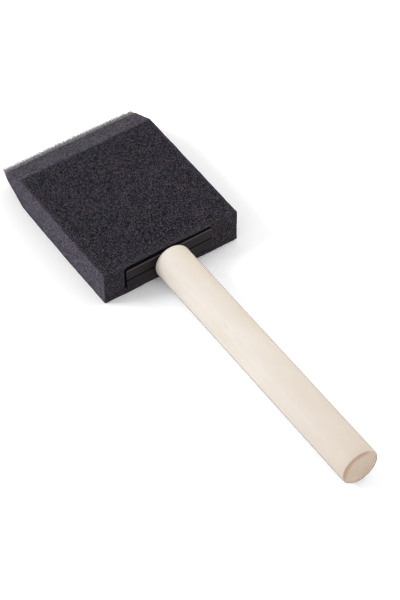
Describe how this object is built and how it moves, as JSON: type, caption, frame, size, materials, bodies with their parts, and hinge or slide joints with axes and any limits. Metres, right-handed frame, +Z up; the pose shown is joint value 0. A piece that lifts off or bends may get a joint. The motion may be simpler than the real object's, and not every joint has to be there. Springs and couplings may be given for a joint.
{
  "type": "foam sponge brush",
  "caption": "Disposable foam brush: round wooden dowel handle, two-part plastic core, and a dark foam head with a chisel tip that bends.",
  "frame": {"origin": "middle of the brush's footprint, on the surface it lies on", "axes": "+Y along the handle towards the foam's tip, +X across the foam, +Z up through its thickness"},
  "size_m": [0.0508, 0.1686, 0.0127],
  "materials": {
    "handle_wood": "sanded bare birch",
    "core_plastic": "satin moulded",
    "glue": "dried glue",
    "foam": "open-cell foam"
  },
  "bodies": {
    "brush": {"handle": "handle_wood", "core_upper_half": "core_plastic", "core_lower_half": "core_plastic", "peg_glue": "glue", "glue_film_upper": "glue", "glue_film_lower": "glue", "foam_body": "foam"},
    "free_tip": {"foam_tip": "foam"}
  },
  "joints": [
    {"name": "tip_flex", "type": "hinge", "parent": "brush", "child": "free_tip", "pos_m": [0, 0.0609, 0.00635], "axis": [1, 0, 0], "range_deg": [-45, 45], "stiffness_Nm_per_rad": 0.026, "deforming": ["foam_tip"]}
  ]
}
